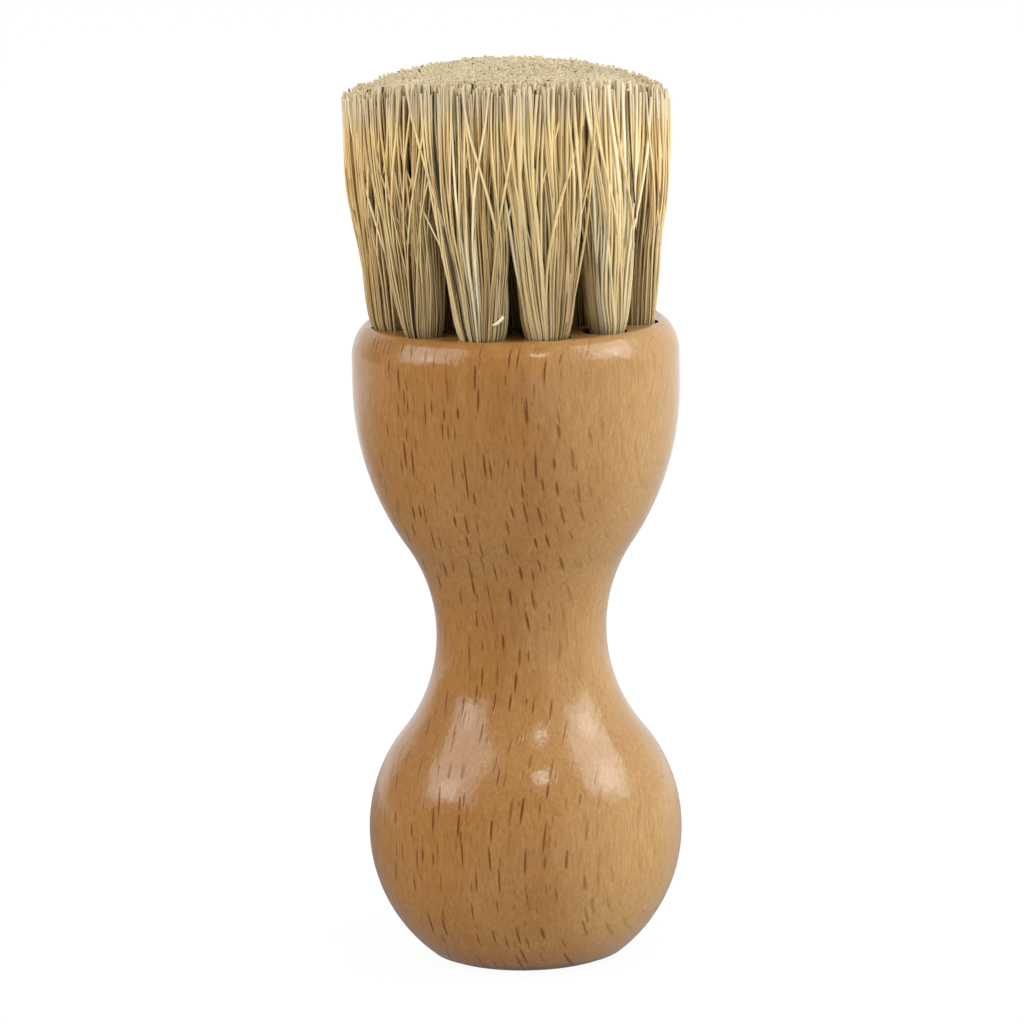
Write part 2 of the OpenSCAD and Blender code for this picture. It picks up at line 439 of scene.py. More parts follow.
def handleProfile(spec):
    knob, swell, shoulder, easing = spec["knob"], spec["swell"], spec["shoulder"], spec["footEase"]
    headIn = spec["headRadius"] - spec["neck"]
    knobIn = knob["radius"] - spec["neck"]
    blendTall = swell["height"] - knob["height"]
    blendK = blendTall ** 2 + headIn * (knob["radius"] + spec["neck"] - 2 * swell["radius"] + headIn)
    rise = blendK / (blendTall + math.sqrt(blendTall ** 2 + (headIn / knobIn - 1) * blendK))
    waist = (rise ** 2 / knobIn - knob["radius"] - spec["neck"]) / 2
    waistX, waistZ = spec["neck"] + waist, knob["height"] + rise
    knobTurn = math.asin(rise / (knob["radius"] + waist))
    swellTurn = math.asin((swell["height"] - waistZ) / (swell["radius"] + waist))
    footTurn = math.asin(knob["height"] / knob["radius"])

    def arc(centreX, centreZ, radius, start, end):
        steps = max(2, math.ceil(abs(math.degrees(end - start)) * radius / knob["radius"] / spec["step"]))
        turns = [start + (end - start) * i / steps for i in range(steps + 1)]
        return [(centreX + radius * math.cos(t), centreZ + radius * math.sin(t)) for t in turns]

    body = arc(0, knob["height"], knob["radius"], -footTurn, knobTurn)
    footRadius = body[0][0]
    points = [(footRadius - easing["wide"] * (1 - math.sin(t) * easing["reach"]),
               easing["tall"] * (1 - math.cos(t))) for t in easing["turns"]]
    points += [p for p in body if p[1] > easing["tall"]]
    points += arc(waistX, waistZ, waist, math.pi + knobTurn, math.pi - swellTurn)[1:]
    points += arc(spec["headRadius"] - swell["radius"], swell["height"], swell["radius"], -swellTurn, 0)[1:]
    faceRadius = spec["headRadius"] - shoulder["wide"]
    steps = shoulder["steps"]
    for i in range(steps + 1):
        t = math.pi / 2 * i / steps
        out = math.cos(t) ** shoulder["fullness"] if i < steps else 0
        up = math.sin(t) ** shoulder["fullness"]
        points.append((faceRadius + shoulder["wide"] * out,
                       shoulder["bottom"] + (spec["height"] - shoulder["bottom"]) * up))
    return points


def buildHandleTree(spec, drills, sizes):
    tree, given = startTree("turnAndDrill", {
        "Profile": "NodeSocketGeometry",
        **sizes,
        "Material": "NodeSocketMaterial",
    })
    profile, sides = given["Profile"], given["Sides"]
    size = addNode(tree, "GeometryNodeAttributeDomainSize", {"Geometry": profile}, component="CURVE")
    rows = size.outputs["Point Count"]
    across = plus(tree, sides, 1.0)
    grid = addNode(tree, "GeometryNodeMeshGrid", {"Vertices X": rows, "Vertices Y": across})
    index = fromNode(tree, "GeometryNodeInputIndex")
    spot = fromNode(tree, "GeometryNodeInputPosition")

    def onProfile(row):
        inputs = {"Geometry": profile, "Index": row}
        node = addNode(tree, "GeometryNodeSampleIndex", inputs, data_type="FLOAT_VECTOR", domain="POINT")
        feed(tree, node.inputs["Value"], spot)
        return toXyz(tree, node.outputs[0])

    def raised(geometry, height, **more):
        inputs = {"Geometry": geometry, "Translation": fromXyz(tree, 0.0, 0.0, height), **more}
        return fromNode(tree, "GeometryNodeTransform", inputs)

    turn = times(tree, over(tree, calc(tree, "MODULO", index, across), sides), 2 * math.pi)
    x, _, z = onProfile(calc(tree, "FLOOR", over(tree, index, across)))
    parts = [moveTo(tree, grid.outputs["Mesh"], onCircle(tree, x, turn, z))]
    for row in (0, minus(tree, rows, 1.0)):    # a flat disc closes each end
        x, _, z = onProfile(row)
        disc = fromNode(tree, "GeometryNodeMeshCircle", {"Vertices": sides, "Radius": x}, fill_type="NGON")
        disc = raised(disc, z)
        if row == 0:
            disc = fromNode(tree, "GeometryNodeFlipFaces", {"Mesh": disc})
        parts.append(disc)
    inputs = {"Geometry": joinAll(tree, parts), "Distance": spec["weld"] * mm}
    blank = fromNode(tree, "GeometryNodeMergeByDistance", inputs)

    # one drill bit, pointing down from the face, is set at every hole
    def cone(top, bottom, tall):
        inputs = {"Vertices": drills["sides"], "Radius Top": top, "Radius Bottom": bottom, "Depth": tall}
        return addNode(tree, "GeometryNodeMeshCone", inputs).outputs["Mesh"]

    radius, depth = times(tree, given["Hole Width"], 0.5), given["Hole Depth"]
    above, rimTall = drills["above"] * mm, drills["rimCutter"] * mm
    inputs = {"Vertices": drills["sides"], "Radius": radius, "Depth": plus(tree, depth, above)}
    shank = addNode(tree, "GeometryNodeMeshCylinder", inputs).outputs["Mesh"]
    bit = addNode(tree, "GeometryNodeMeshBoolean", operation="UNION", solver="EXACT")
    for piece in (
        raised(shank, times(tree, minus(tree, above, depth), 0.5)),
        raised(cone(0.0, radius, given["Drill Tip"]), times(tree, depth, -1.0), Rotation=(math.pi, 0, 0)),
        raised(cone(plus(tree, radius, rimTall), radius, rimTall), times(tree, given["Rim Ease"], -1.0)),
    ):
        tree.links.new(piece, bit.inputs["Mesh 2"])
    holes = []
    for ring in drills["rings"]:
        turn = timesPlus(tree, index, 2 * math.pi / ring["count"], math.radians(ring["first"] - 90))
        dots = fromNode(tree, "GeometryNodePoints", {"Count": ring["count"]})
        dots = moveTo(tree, dots, onCircle(tree, ring["radius"] * mm, turn, given["Face Height"]))
        lean = fromXyz(tree, 0.0, math.radians(ring["lean"]), turn)
        inputs = {"Points": dots, "Instance": bit.outputs["Mesh"], "Rotation": lean}
        holes.append(fromNode(tree, "GeometryNodeInstanceOnPoints", inputs))
    bits = fromNode(tree, "GeometryNodeRealizeInstances", {"Geometry": joinAll(tree, holes)})
    drilled = addNode(tree, "GeometryNodeMeshBoolean", operation="DIFFERENCE", solver="EXACT")
    tree.links.new(blank, drilled.inputs["Mesh 1"])
    tree.links.new(bits, drilled.inputs["Mesh 2"])
    inputs = {"Geometry": drilled.outputs["Mesh"]}
    smooth = fromNode(tree, "GeometryNodeSetShadeSmooth", inputs, domain="FACE")
    bend = addNode(tree, "GeometryNodeInputMeshEdgeAngle").outputs["Unsigned Angle"]
    sharp = calc(tree, "GREATER_THAN", bend, math.radians(spec["crease"]))
    inputs = {"Geometry": smooth, "Selection": sharp, "Shade Smooth": False}
    creased = fromNode(tree, "GeometryNodeSetShadeSmooth", inputs, domain="EDGE")
    endTree(tree, creased, given["Material"])
    return tree


def makeHandle(spec, drills):
    profile = bpy.data.curves.new("handleProfile", "CURVE")
    profile.dimensions = "3D"
    spline = profile.splines.new("POLY")
    points = handleProfile(spec)
    spline.points.add(len(points) - 1)
    for point, (x, z) in zip(spline.points, points):
        point.co = (x * mm, 0, z * mm, 1)
    tipHeight = drills["hole"] / 2 / math.tan(math.radians(drills["point"] / 2))
    sizes = {
        "Sides": spec["sides"],
        "Hole Width": drills["hole"] * mm,
        "Hole Depth": drills["depth"] * mm,
        "Drill Tip": tipHeight * mm,
        "Rim Ease": drills["rimEase"] * mm,
        "Face Height": spec["height"] * mm,
    }
    tree = buildHandleTree(spec, drills, sizes)
    handle = growMesh("turnedHandle", profile, tree, {**sizes, "Material": beech})
    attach(handle, "root")
    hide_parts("handle")
    return handle


handle = makeHandle(handleSpec, drillSpec)
print("handle turned:", len(handle.data.polygons), "faces")


# the colours of the hair

hairSpec = {
    "end": (0.620, 0.530, 0.368),
    "cream": (0.850, 0.748, 0.500),
    "straw": (0.695, 0.520, 0.250),
    "khaki": (0.610, 0.428, 0.186),
    "olive": (0.505, 0.318, 0.128),
    "black": (0.045, 0.033, 0.022),
    "stops": [                       # from the darkest hair to the palest
        (0.0, "black"), (0.03, "black"), (0.05, "olive"), (0.18, "olive"),
        (0.38, "khaki"), (0.62, "straw"), (0.80, "straw"), (0.91, "cream"),
    ],
    "blotch": {"scale": 900.0, "stretch": (1.0, 1.0, 0.35)},
    "blotchShade": (0.75, 0.5),      # at least, and how much a blotch adds
    "paintedRootShade": (0.0, 0.5, 0.76, 1.0),
    "paintedTopLight": (0.40, 0.85, 1.0, 1.22),
    "cutEnd": (0.80, 1.0, 0.0, 0.75),
    "blackBelow": 0.04,
    "roughness": (0.4, 0.2),
    "shine": 0.3,
    "glow": 0.25,                    # how much light passes through a hair
    "glowColour": (1.0, 0.8, 0.5),
    "glowDepth": 0.5,
}


def makeHair(spec):
    material, tree, shader = startMaterial("bristleHair")
    tone = addNode(tree, "ShaderNodeAttribute", attribute_name="tone").outputs["Fac"]
    rise = addNode(tree, "ShaderNodeAttribute", attribute_name="rise").outputs["Fac"]
    ramp = addNode(tree, "ShaderNodeValToRGB", {"Fac": tone})
    while len(ramp.color_ramp.elements) < len(spec["stops"]):
        ramp.color_ramp.elements.new(0.5)
    for element, (at, name) in zip(ramp.color_ramp.elements, spec["stops"]):
        element.position = at
        element.color = (*spec[name], 1)
    blotch = patternOn(tree, placeOn(tree, "Object"), **spec["blotch"])
    shade = graded(tree, blotch, *spec["blotchShade"])
    # painted shade darkens each hair towards its root, and painted light brightens it towards the top
    shade = times(tree, shade, ease(tree, rise, *spec["paintedRootShade"]))
    shade = times(tree, shade, ease(tree, rise, *spec["paintedTopLight"]))
    colour = shaded(tree, ramp.outputs["Color"], shade)
    paleHair = calc(tree, "GREATER_THAN", tone, spec["blackBelow"])
    colour = mixColour(tree, times(tree, ease(tree, rise, *spec["cutEnd"]), paleHair), colour, spec["end"])
    feed(tree, shader.inputs["Base Color"], colour)
    feed(tree, shader.inputs["Roughness"], graded(tree, blotch, *spec["roughness"]))
    shader.inputs["Specular IOR Level"].default_value = spec["shine"]
    shader.inputs["Subsurface Weight"].default_value = spec["glow"]
    shader.inputs["Subsurface Radius"].default_value = spec["glowColour"]
    shader.inputs["Subsurface Scale"].default_value = spec["glowDepth"] * mm
    return material


hair = makeHair(hairSpec)
print("hair mixed")


# the bristles, a bundle of separate hairs for each hole

bristleSpec = {
    "strands": 420,
    "steps": 12,
    "crowding": 1.45,         # above 1, the points of a hair stand closer together near its hole
    "start": 2.0,             # a hair begins to fan out this far inside its hole
    "length": 25.0,           # from the face to the crown of the trimmed top
    "depth": 8.2,             # how far a hair goes down its hole
    "bundle": 1.70,           # radius of a bundle inside its hole
    "bulge": 1.37,            # how much it swells on its way out of the hole
    "bulgeHeight": 1.6,
    "aside": -0.46,           # the block leans this much to the left
    "shift": 0.0,             # how far a bundle sits to one side of its hole
    "shiftFades": (0.2, 0.9, 1.0, 0.0),    # from where to where on the way up this fades
    "blockRadius": 16.1,
    "blockSoft": 0.6,
    "edges": {"outer": (11.35, 16.1), "middle": (6.5, 11.45), "inner": (0.0, 6.65)},
    "edgeSoft": 0.2,
    "splayOut": ((0.315, 0.46), (0.55, 0.88), (0.72, 0.985)),
    "splaySide": ((0.10, 0.19), (0.25, 0.43), (0.50, 0.72), (0.78, 0.93)),
    "dome": 0.3,
    "lift": 0.5,              # the front edge of the trim stands this much higher
    "sideLift": 7.0,          # and this many times more towards its sides
    "crown": 1.9,             # the trim falls this much from the middle to each side
    "trim": 0.12,             # unevenness of the cut ends
    "edgeTrim": 1.5,          # the rim of the top is worn this much shorter
    "edgeWear": (0.72, 1.04),
    "width": 0.185,
    "widths": (0.85, 1.25),   # from the thinnest hair to the thickest
    "tipWidth": (0.3, 1.0, 1.0, 1.22),
    "brightWidth": 0.12,      # the palest hairs are this much thicker
    "brightTone": (0.45, 0.95),
    "clumps": 13,
    "clumpSpread": 0.9,
    "clumpPull": 0.48,
    "clumpBy": 0.6,           # a clump has drawn together at this share of the way up
    "jitter": 0.07,
    "shuffle": 0.30,          # how far a hair strays from its neighbours on the way up
    "shuffleFrom": 0.1,
    "clumpSway": 1.3,
    "clumpWaves": 1.6,
    "hairSway": 0.8,
    "hairWaves": 2.0,
    "swayBy": 0.4,
    "swayOut": 0.6,           # the hairs sway less outwards than sideways
    "strays": 0.10,
    "strayOut": (-0.2, 0.5),
    "straySide": (-1.3, 1.3),
    "strayTone": (0.62, 0.34),    # at least, and how much of its own tone a stray hair adds
    "patches": 0.36,          # how much of a hair's tone it shares with its clump
    # a bundle's own shift of tone, which darkens the side tufts as painted shade
    "tone": 0.0,
    "leastTone": 0.08,
    "dark": 0.020,            # share of black hairs
    "loose": 0,
    "curl": {"points": 8, "aside": 1.1, "height": 1.6, "out": 1.75, "further": 0.5, "length": 1.9,
             "slope": 0.05, "bend": 1.0, "width": 0.42, "tone": 0.95, "rise": 0.6},
    "uneven": {               # some bundles are thinner and sit to one side of their holes, and the tufts at the left and right sides get darker hair as painted shade
        "tuft_outer_01": {"bundle": 1.62, "shift": -0.1},
        "tuft_outer_02": {"bundle": 1.28, "shift": 0.55, "tone": 0.04},
        "tuft_outer_03": {"bundle": 1.74, "bulge": 1.05, "tone": -0.24},
        "tuft_outer_04": {"bundle": 1.74, "bulge": 1.0, "tone": -0.24},
        "tuft_outer_05": {"loose": 1},
        "tuft_outer_08": {"bundle": 1.45, "shift": 0.2, "tone": -0.1},
        "tuft_outer_09": {"tone": -0.3},
        "tuft_outer_10": {"tone": -0.3},
        "tuft_outer_11": {"bundle": 1.38, "shift": -0.4, "tone": -0.1},
        "tuft_outer_12": {"loose": 1},
    },
    # the map that the colours can be baked through, as shares of a hair's own cell
    "sheet": {"columns": 106, "rows": 4, "margin": 0.08, "sidesFrom": 0.09, "sidesTall": 0.82,
              "endsFrom": 0.01, "endsApart": 0.925, "endTall": 0.05},
}

# the sizes above that the tree takes as inputs, since a bundle can have its own
bristleInputs = (
    "strands", "length", "depth", "bundle", "bulge", "bulgeHeight", "blockRadius", "dome", "crown",
    "trim", "width", "brightWidth", "clumps", "clumpPull", "clumpSway", "hairSway", "strays",
    "aside", "shuffle", "shift", "tone", "loose",
)


# each hair has a cell of the map, with its three sides beside one another and its ends above and below

def layOut(tree, hairs, sheet):
    def ofFace(value):
        return fromNode(tree, "GeometryNodeFieldOnDomain", {0: value}, domain="FACE", data_type="FLOAT")

    side, along, number = (readValue(tree, name) for name in ("side", "along", "strandNumber"))
    columns, margin = sheet["columns"], sheet["margin"]
    corners = addNode(tree, "GeometryNodeInputMeshFaceNeighbors").outputs["Vertex Count"]
    isEnd = ofFace(calc(tree, "LESS_THAN", corners, 3.5))     # only the ends are triangles
    closes = calc(tree, "COMPARE", ofFace(side), 1.0, 0.1)    # this side runs back to the first edge
    lastEdge = times(tree, closes, calc(tree, "LESS_THAN", side, 0.5))
    around = over(tree, timesPlus(tree, lastEdge, 3.0, side), 3.0)
    upSide = graded(tree, along, sheet["sidesFrom"], sheet["sidesTall"])
    isTop = calc(tree, "GREATER_THAN", along, 0.5)
    isMiddle = calc(tree, "COMPARE", side, 1.0, 0.1)
    upEnd = graded(tree, isTop, sheet["endsFrom"], sheet["endsApart"])
    upEnd = plus(tree, upEnd, times(tree, isMiddle, sheet["endTall"]))
    u = timesPlus(tree, blend(tree, isEnd, around, times(tree, side, 0.5)), 1 - 2 * margin, margin)
    u = over(tree, plus(tree, u, calc(tree, "MODULO", number, columns)), columns)
    v = plus(tree, blend(tree, isEnd, upSide, upEnd), calc(tree, "FLOOR", over(tree, number, columns)))
    v = over(tree, v, sheet["rows"])
    inputs = {"Geometry": hairs, "Name": "OFBake", "Value": fromXyz(tree, u, v, 0.0)}
    hairs = fromNode(tree, "GeometryNodeStoreNamedAttribute", inputs, data_type="FLOAT2", domain="CORNER")
    for name in ("side", "along", "strandNumber", "thick"):
        hairs = fromNode(tree, "GeometryNodeRemoveAttribute", {"Geometry": hairs, "Name": name})
    return hairs


def buildBristleTree(spec, sizes):
    tree, given = startTree("bristleBundle", {**sizes, "Material": "NodeSocketMaterial"})
    steps = spec["steps"]
    seed = given["seed"]
    index = fromNode(tree, "GeometryNodeInputIndex")
    dots = fromNode(tree, "GeometryNodePoints", {"Count": times(tree, given["strands"], steps + 1)})
    strand = calc(tree, "FLOOR", over(tree, index, steps + 1))
    step = calc(tree, "MODULO", index, steps + 1)

    def chance(low, high, salt):    # one random number for each hair
        node = addNode(tree, "FunctionNodeRandomValue", data_type="FLOAT")
        floats = [s for s in node.inputs if s.type == "VALUE" and s.name in ("Min", "Max")]
        feed(tree, floats[0], low)
        feed(tree, floats[1], high)
        feed(tree, node.inputs["ID"], strand)
        feed(tree, node.inputs["Seed"], timesPlus(tree, seed, 37.0, salt))
        return [s for s in node.outputs if s.type == "VALUE"][0]

    # each hair has a place in a square, from -1 to 1 outwards and sideways, spread evenly by two rates
    # that never fall into step, with a little jitter
    outRate, sideRate, tuftRate = 0.7548776662, 0.5698402910, 0.137

    def spread(number, rate, salt):
        even = calc(tree, "FRACT", timesPlus(tree, number, rate, timesPlus(tree, seed, tuftRate, salt)))
        return timesPlus(tree, even, 2.0, -1.0)

    jitter = spec["jitter"]
    outward = plus(tree, spread(strand, outRate, 0.5), chance(-jitter, jitter, 1.0))
    sideways = plus(tree, spread(strand, sideRate, 0.5), chance(-jitter, jitter, 2.0))
    own = fromXyz(tree, outward, sideways, 0.0)
    clumpDots = fromNode(tree, "GeometryNodePoints", {"Count": given["clumps"]})
    clumpOut = times(tree, spread(index, outRate, 0.21), spec["clumpSpread"])
    clumpSide = times(tree, spread(index, sideRate, 0.77), spec["clumpSpread"])
    clumpDots = moveTo(tree, clumpDots, fromXyz(tree, clumpOut, clumpSide, 0.0))
    near = addNode(tree, "GeometryNodeProximity", {0: clumpDots}, target_element="POINTS")
    feed(tree, near.inputs["Sample Position"], own)
    clump = near.outputs["Position"]

    # how far this point of the hair is on its way up, or how far down its hole
    climb = calc(tree, "MAXIMUM", over(tree, minus(tree, step, 1.0), steps - 1), 0.0)
    climb = calc(tree, "POWER", climb, spec["crowding"])
    sunk = times(tree, calc(tree, "MAXIMUM", minus(tree, 1.0, step), 0.0), given["depth"])
    sunk = plus(tree, sunk, times(tree, calc(tree, "COMPARE", step, 1.0, 0.1), spec["start"]))
    pulled = times(tree, ease(tree, climb, 0.0, spec["clumpBy"]), given["clumpPull"])
    stray = calc(tree, "LESS_THAN", chance(0.0, 1.0, 3.0), given["strays"])
    notStray = minus(tree, 1.0, stray)
    square = addNode(tree, "ShaderNodeMix", data_type="VECTOR")
    feed(tree, square.inputs[0], times(tree, pulled, notStray))
    feed(tree, square.inputs[4], own)
    feed(tree, square.inputs[5], clump)

    # a stray hair ends up somewhere else over its tuft or the next one
    strayMove = fromXyz(tree, chance(*spec["strayOut"], 4.0), chance(*spec["straySide"], 5.0), 0.0)
    strayMove = vectorCalc(tree, "SCALE", strayMove, times(tree, stray, ease(tree, climb, 0.0, 1.0)))
    drift = fromXyz(tree, chance(-1.0, 1.0, 10.0), chance(-1.0, 1.0, 11.0), 0.0)
    shuffled = times(tree, ease(tree, climb, spec["shuffleFrom"], 1.0), given["shuffle"])
    drift = vectorCalc(tree, "SCALE", drift, shuffled)
    square = vectorCalc(tree, "ADD", vectorCalc(tree, "ADD", square.outputs[1], strayMove), drift)
    a, b, _ = toXyz(tree, square)
    a = calc(tree, "SMOOTH_MIN", calc(tree, "MAXIMUM", a, -1.0), 1.0, spec["edgeSoft"])

    # at the hole the square is squeezed into a disc, at the top it fills a sector of the block
    def squeeze(first, second):
        half = times(tree, squared(tree, second), 0.5)
        return times(tree, first, calc(tree, "SQRT", calc(tree, "MAXIMUM", minus(tree, 1.0, half), 0.1)))

    ownOut, ownSide, _ = toXyz(tree, own)
    rise = minus(tree, times(tree, climb, given["length"]), sunk)
    swollen = ease(tree, rise, -spec["start"], given["bulgeHeight"], 1.0, given["bulge"])
    bundle = times(tree, given["bundle"], swollen)
    rootOut = times(tree, squeeze(ownOut, ownSide), bundle)
    rootSide = times(tree, squeeze(ownSide, ownOut), bundle)
    leanOff = times(tree, times(tree, sunk, calc(tree, "TANGENT", given["lean"])), -1.0)
    rootOut = plus(tree, plus(tree, rootOut, given["ringRadius"]), leanOff)
    edges = squared(tree, given["innerEdge"]), squared(tree, given["outerEdge"])
    topRadius = calc(tree, "SQRT", blend(tree, timesPlus(tree, a, 0.5, 0.5), *edges))
    topTurn = times(tree, b, given["halfTurn"])
    topOut, topSide, _ = toXyz(tree, onCircle(tree, topRadius, topTurn, 0.0))

    def between(start, end, bends):    # from the hole to the top along a curve of shares
        splay = addNode(tree, "ShaderNodeFloatCurve", {"Value": climb})
        line = splay.mapping.curves[0]
        for at, value in bends:
            line.points.new(at, value)
        line.points[0].location = (0, 0)
        line.points[-1].location = (1, 1)
        splay.mapping.update()
        return blend(tree, splay.outputs[0], start, end)

    goOut = between(rootOut, topOut, spec["splayOut"])
    rootSide = timesPlus(tree, ease(tree, climb, *spec["shiftFades"]), given["shift"], rootSide)
    goSide = between(rootSide, topSide, spec["splaySide"])

    # soft waves, shared by the hairs of a clump, with a smaller one for each hair
    def wave(key, speed, size, salt):
        inputs = {"Vector": key, "W": timesPlus(tree, climb, speed, salt), "Scale": 1.0, "Detail": 0.0}
        noise = addNode(tree, "ShaderNodeTexNoise", inputs, noise_dimensions="4D")
        centred = vectorCalc(tree, "SUBTRACT", noise.outputs["Color"], (0.5, 0.5, 0.5))
        return vectorCalc(tree, "SCALE", centred, times(tree, ease(tree, climb, 0.0, spec["swayBy"]), size))

    # these numbers only set the clumps, the hairs and the tufts apart in the noise
    clumpKey = fromXyz(tree, 0.0, 0.0, times(tree, seed, 3.7))
    clumpKey = vectorCalc(tree, "ADD", vectorCalc(tree, "SCALE", clump, 9.0), clumpKey)
    hairKey = fromXyz(tree, times(tree, strand, 1.73), times(tree, seed, 5.1), 0.0)
    hairSize = times(tree, given["hairSway"], plus(tree, stray, 1.0))
    clumpWave = wave(clumpKey, spec["clumpWaves"], given["clumpSway"], 0.0)
    waves = vectorCalc(tree, "ADD", clumpWave, wave(hairKey, spec["hairWaves"], hairSize, 4.0))
    waveOut, waveSide, _ = toXyz(tree, waves)
    goOut = plus(tree, goOut, times(tree, waveOut, spec["swayOut"]))
    goSide = plus(tree, goSide, waveSide)

    cosine, sine = calc(tree, "COSINE", given["turn"]), calc(tree, "SINE", given["turn"])

    def onBrush(out, aside):    # from the tuft's own directions to the brush's
        x = minus(tree, times(tree, out, cosine), times(tree, aside, sine))
        return x, plus(tree, times(tree, out, sine), times(tree, aside, cosine))

    # no hair leaves the round of the block, and the top is trimmed to its crown
    flat = fromXyz(tree, *onBrush(goOut, goSide), 0.0)
    reach = vectorCalc(tree, "LENGTH", flat)
    held = over(tree, calc(tree, "SMOOTH_MIN", reach, given["blockRadius"], spec["blockSoft"]), reach)
    x, y, _ = toXyz(tree, vectorCalc(tree, "SCALE", flat, held))
    farShare = over(tree, reach, given["blockRadius"])
    sideSquare = squared(tree, over(tree, x, given["blockRadius"]))
    domed = times(tree, squared(tree, farShare), given["dome"])
    fall = plus(tree, domed, times(tree, sideSquare, given["crown"]))
    frontShare = calc(tree, "MAXIMUM", over(tree, y, -spec["blockRadius"]), 0.0)
    lift = timesPlus(tree, sideSquare, -spec["lift"] * spec["sideLift"], -spec["lift"])
    fall = timesPlus(tree, squared(tree, frontShare), lift, fall)
    worn = times(tree, ease(tree, farShare, *spec["edgeWear"]), chance(0.0, 1.0, 9.0))
    fall = plus(tree, fall, times(tree, worn, spec["edgeTrim"]))
    fall = plus(tree, fall, times(tree, chance(0.0, 1.0, 6.0), given["trim"]))
    leant = minus(tree, 1.0, squared(tree, minus(tree, 1.0, climb)))
    x = timesPlus(tree, leant, given["aside"], x)
    z = timesPlus(tree, climb, minus(tree, given["length"], fall), minus(tree, given["faceHeight"], sunk))
    dots = moveTo(tree, dots, vectorCalc(tree, "SCALE", fromXyz(tree, x, y, z), mm))

    def keep(geometry, name, value):
        inputs = {"Geometry": geometry, "Name": name, "Value": value}
        return fromNode(tree, "GeometryNodeStoreNamedAttribute", inputs, data_type="FLOAT", domain="POINT")

    # the tone runs from black over olive, khaki and straw to cream, and the palest hairs are the thickest
    inputs = {"Vector": vectorCalc(tree, "ADD", clump, fromXyz(tree, 0.0, 0.0, seed))}
    shared = addNode(tree, "ShaderNodeTexWhiteNoise", inputs, noise_dimensions="3D").outputs["Value"]
    patches = times(tree, shared, spec["patches"])
    tone = timesPlus(tree, chance(0.0, 1.0, 7.0), 1 - spec["patches"], patches)
    # the bundle's own tone shift is added here, painted shade on the tufts at the sides
    tone = calc(tree, "MAXIMUM", plus(tree, tone, given["tone"]), spec["leastTone"])
    strayTone = graded(tree, tone, *spec["strayTone"])
    tone = plus(tree, times(tree, tone, notStray), times(tree, strayTone, stray))
    tone = times(tree, tone, calc(tree, "GREATER_THAN", chance(0.0, 1.0, 12.0), spec["dark"]))
    thick = timesPlus(tree, ease(tree, tone, *spec["brightTone"]), given["brightWidth"], given["width"])
    thick = times(tree, thick, chance(*spec["widths"], 8.0))
    thick = times(tree, thick, ease(tree, climb, *spec["tipWidth"]))
    hairValues = {"tone": tone, "rise": climb, "thick": times(tree, thick, 0.5 * mm), "strandNumber": strand,
                  "along": over(tree, step, steps)}
    for name, value in hairValues.items():
        dots = keep(dots, name, value)

    def grow(dots, group, order):    # the points of each hair become a thin solid
        inputs = {"Points": dots, "Curve Group ID": group, "Weight": order}
        lines = fromNode(tree, "GeometryNodePointsToCurves", inputs)
        lines = fromNode(tree, "GeometryNodeCurveSplineType", {"Curve": lines}, spline_type="CATMULL_ROM")
        lines = fromNode(tree, "GeometryNodeSetSplineResolution", {"Geometry": lines, "Resolution": 2})
        inputs = {"Resolution": 3, "Radius": 1.0}
        outline = fromNode(tree, "GeometryNodeCurvePrimitiveCircle", inputs, mode="RADIUS")
        outline = keep(outline, "side", index)
        inputs = {"Curve": lines, "Profile Curve": outline, "Fill Caps": True}
        inputs["Scale"] = readValue(tree, "thick")
        return fromNode(tree, "GeometryNodeCurveToMesh", inputs)

    # a broken hair curls out near the foot of a tuft
    curl = spec["curl"]
    count, size = curl["points"], curl["length"] / curl["bend"]
    part = over(tree, calc(tree, "MODULO", index, count), count - 1)
    slope = timesPlus(tree, part, curl["bend"], curl["slope"])
    fromSide = curl["aside"] - size * math.sin(curl["slope"])
    fromHeight = curl["height"] + size * math.cos(curl["slope"])
    curlSide = timesPlus(tree, calc(tree, "SINE", slope), size, fromSide)
    curlUp = timesPlus(tree, calc(tree, "COSINE", slope), -size, fromHeight)
    curlOut = plus(tree, given["ringRadius"], timesPlus(tree, part, curl["further"], curl["out"]))
    curlPlace = fromXyz(tree, *onBrush(curlOut, curlSide), plus(tree, curlUp, given["faceHeight"]))
    inputs = {"Count": times(tree, given["loose"], count)}
    inputs["Position"] = vectorCalc(tree, "SCALE", curlPlace, mm)
    curlDots = fromNode(tree, "GeometryNodePoints", inputs)
    curlValues = {"tone": curl["tone"], "rise": curl["rise"], "thick": curl["width"] / 2 * mm,
                  "strandNumber": given["strands"], "along": part}
    for name, value in curlValues.items():
        curlDots = keep(curlDots, name, value)
    curls = grow(curlDots, calc(tree, "FLOOR", over(tree, index, count)), part)
    mapped = layOut(tree, joinAll(tree, [curls, grow(dots, strand, step)]), spec["sheet"])
    smooth = fromNode(tree, "GeometryNodeSetShadeSmooth", {"Geometry": mapped}, domain="FACE")
    endTree(tree, smooth, given["Material"])
    return tree


